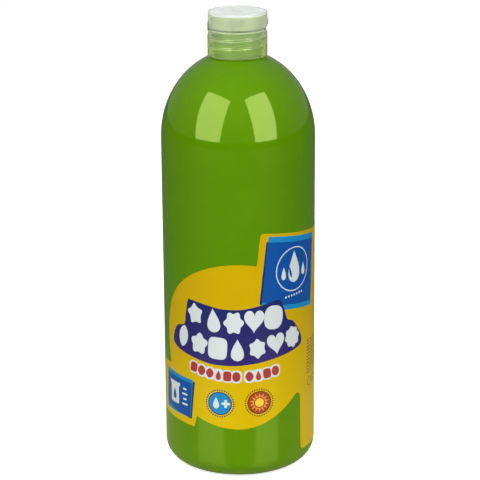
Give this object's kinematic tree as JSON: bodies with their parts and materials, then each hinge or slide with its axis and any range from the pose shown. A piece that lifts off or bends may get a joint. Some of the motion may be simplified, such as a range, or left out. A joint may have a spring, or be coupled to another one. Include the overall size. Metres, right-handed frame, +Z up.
{
  "type": "paint squeeze bottle",
  "caption": "Tall round squeeze bottle of ready-mixed paint with a die-cut wrap-around label and a flip-top screw closure with nozzle.",
  "frame": {"origin": "middle of the ring that the bottle stands on, on the surface it stands on", "axes": "+Z up along the bottle's axis; the label's front faces -Y, the lid's thumb lip is at +X and its hinge at -X"},
  "size_m": [0.0821, 0.0822, 0.2481],
  "materials": {
    "bottle_shell": "clear blow-moulded shell, glossy, green from the paint behind it",
    "green_paint": "thick wet paint",
    "label_film": "printed film, satin gloss",
    "liner_foam": "closed-cell foam, matt",
    "closure_plastic": "natural translucent moulding, satin"
  },
  "bodies": {
    "bottle": {"bottle": "bottle_shell", "paint_fill": "green_paint", "wrap_label": "label_film"},
    "seal": {"liner_washer": "liner_foam"},
    "closure": {"closure_base": "closure_plastic", "hinge_web": "closure_plastic"},
    "lid": {"flip_lid": "closure_plastic"}
  },
  "joints": [
    {"name": "cap_rise", "type": "slide", "parent": "bottle", "child": "seal", "axis": [0, 0, 1], "range_m": [0, 0.0175]},
    {"name": "cap_turn", "type": "hinge", "parent": "seal", "child": "closure", "pos_m": [0, 0, 0.23], "axis": [0, 0, 1], "range_deg": [0, 1440]},
    {"name": "lid_flip", "type": "hinge", "parent": "closure", "child": "lid", "pos_m": [-0.01555, 0, 0.24012], "axis": [0, -1, 0], "range_deg": [0, 160], "deforming": ["hinge_web"]}
  ],
  "couplings": [
    {"joint": "cap_rise", "follows": "cap_turn", "m_per_rad": 0.00067378}
  ]
}
